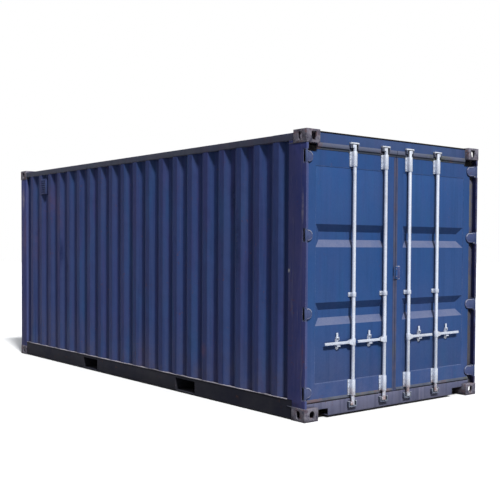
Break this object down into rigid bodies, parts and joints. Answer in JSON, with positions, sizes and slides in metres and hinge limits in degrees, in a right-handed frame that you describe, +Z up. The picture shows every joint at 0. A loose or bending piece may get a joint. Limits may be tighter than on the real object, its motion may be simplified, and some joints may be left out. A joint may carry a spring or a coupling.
{
  "type": "shipping container",
  "caption": "Dry freight shipping container with corrugated steel walls, hinged end doors with lock rods, corner castings and fork lift pockets.",
  "frame": {"origin": "on the ground at the middle of the container", "axes": "+X towards the door end, +Y towards the right side as seen facing the doors, +Z up"},
  "size_m": [6.058, 2.438, 2.591],
  "materials": {
    "container_paint": "weathered satin",
    "door_paint": "weathered satin",
    "casting_paint": "worn with rust",
    "underframe_paint": "matt coating",
    "galvanised_steel": "galvanised, matt",
    "gasket_rubber": "weathered",
    "floor_plywood": "oiled and scuffed"
  },
  "bodies": {
    "container": {"left_door_post": "container_paint", "right_door_post": "container_paint", "front_posts": "container_paint", "top_side_rails": "container_paint", "door_header": "container_paint", "door_sill": "container_paint", "front_top_rail": "container_paint", "front_bottom_rail": "container_paint", "left_side_wall": "container_paint", "right_side_wall": "container_paint", "front_wall": "container_paint", "roof_panel": "container_paint", "roof_end_plates": "container_paint", "roof_corner_plates": "container_paint", "vents": "container_paint", "hinge_lugs": "container_paint", "bottom_side_rails": "underframe_paint", "fork_pocket_tops": "underframe_paint", "fork_pocket_sides": "underframe_paint", "fork_pocket_straps": "underframe_paint", "cross_members": "underframe_paint", "top_door_castings": "casting_paint", "top_front_castings": "casting_paint", "bottom_corner_castings": "casting_paint", "floor_boards": "floor_plywood", "cam_keepers": "galvanised_steel"},
    "left_door": {"left_door_frame": "door_paint", "left_door_panel": "door_paint", "left_door_gasket": "gasket_rubber", "left_hinge_blades": "door_paint", "left_rod_guides": "galvanised_steel", "left_handle_retainers": "galvanised_steel"},
    "right_door": {"right_door_frame": "door_paint", "right_door_panel": "door_paint", "right_door_gasket": "gasket_rubber", "right_hinge_blades": "door_paint", "right_rod_guides": "galvanised_steel", "right_handle_retainers": "galvanised_steel", "overlap_plate": "door_paint"},
    "left_outer_rod_body": {"left_outer_rod": "galvanised_steel"},
    "left_outer_handle_body": {"left_outer_handle": "galvanised_steel"},
    "left_outer_catch_body": {"left_outer_catch": "galvanised_steel"},
    "left_inner_rod_body": {"left_inner_rod": "galvanised_steel"},
    "left_inner_handle_body": {"left_inner_handle": "galvanised_steel"},
    "left_inner_catch_body": {"left_inner_catch": "galvanised_steel"},
    "right_outer_rod_body": {"right_outer_rod": "galvanised_steel"},
    "right_outer_handle_body": {"right_outer_handle": "galvanised_steel"},
    "right_outer_catch_body": {"right_outer_catch": "galvanised_steel"},
    "right_inner_rod_body": {"right_inner_rod": "galvanised_steel"},
    "right_inner_handle_body": {"right_inner_handle": "galvanised_steel"},
    "right_inner_catch_body": {"right_inner_catch": "galvanised_steel"}
  },
  "joints": [
    {"name": "left_door_swing", "type": "hinge", "parent": "container", "child": "left_door", "pos_m": [3.015, -1.205, 1.302], "axis": [0, 0, -1], "range_deg": [0, 265]},
    {"name": "left_outer_rod_turn", "type": "hinge", "parent": "left_door", "child": "left_outer_rod_body", "pos_m": [3, -0.59385, 1.293], "axis": [0, 0, -1], "range_deg": [-100, 0]},
    {"name": "left_outer_handle_lift", "type": "hinge", "parent": "left_outer_rod_body", "child": "left_outer_handle_body", "pos_m": [3, -0.63985, 0.675], "axis": [1, 0, 0], "range_deg": [-15, 0]},
    {"name": "left_outer_catch_turn", "type": "hinge", "parent": "left_door", "child": "left_outer_catch_body", "pos_m": [2.981, -0.7788, 0.722], "axis": [0, -1, 0], "range_deg": [-90, 0]},
    {"name": "left_inner_rod_turn", "type": "hinge", "parent": "left_door", "child": "left_inner_rod_body", "pos_m": [3, -0.17199, 1.293], "axis": [0, 0, -1], "range_deg": [-100, 0]},
    {"name": "left_inner_handle_lift", "type": "hinge", "parent": "left_inner_rod_body", "child": "left_inner_handle_body", "pos_m": [3, -0.21799, 0.675], "axis": [1, 0, 0], "range_deg": [-15, 0]},
    {"name": "left_inner_catch_turn", "type": "hinge", "parent": "left_door", "child": "left_inner_catch_body", "pos_m": [2.981, -0.35695, 0.722], "axis": [0, -1, 0], "range_deg": [-90, 0]},
    {"name": "right_door_swing", "type": "hinge", "parent": "container", "child": "right_door", "pos_m": [3.015, 1.205, 1.302], "axis": [0, 0, 1], "range_deg": [0, 265]},
    {"name": "right_outer_rod_turn", "type": "hinge", "parent": "right_door", "child": "right_outer_rod_body", "pos_m": [3, 0.59385, 1.293], "axis": [0, 0, 1], "range_deg": [-100, 0]},
    {"name": "right_outer_handle_lift", "type": "hinge", "parent": "right_outer_rod_body", "child": "right_outer_handle_body", "pos_m": [3, 0.63985, 0.675], "axis": [-1, 0, 0], "range_deg": [-15, 0]},
    {"name": "right_outer_catch_turn", "type": "hinge", "parent": "right_door", "child": "right_outer_catch_body", "pos_m": [2.981, 0.7788, 0.722], "axis": [0, -1, 0], "range_deg": [-90, 0]},
    {"name": "right_inner_rod_turn", "type": "hinge", "parent": "right_door", "child": "right_inner_rod_body", "pos_m": [3, 0.17199, 1.293], "axis": [0, 0, 1], "range_deg": [-100, 0]},
    {"name": "right_inner_handle_lift", "type": "hinge", "parent": "right_inner_rod_body", "child": "right_inner_handle_body", "pos_m": [3, 0.21799, 0.675], "axis": [-1, 0, 0], "range_deg": [-15, 0]},
    {"name": "right_inner_catch_turn", "type": "hinge", "parent": "right_door", "child": "right_inner_catch_body", "pos_m": [2.981, 0.35695, 0.722], "axis": [0, -1, 0], "range_deg": [-90, 0]}
  ]
}
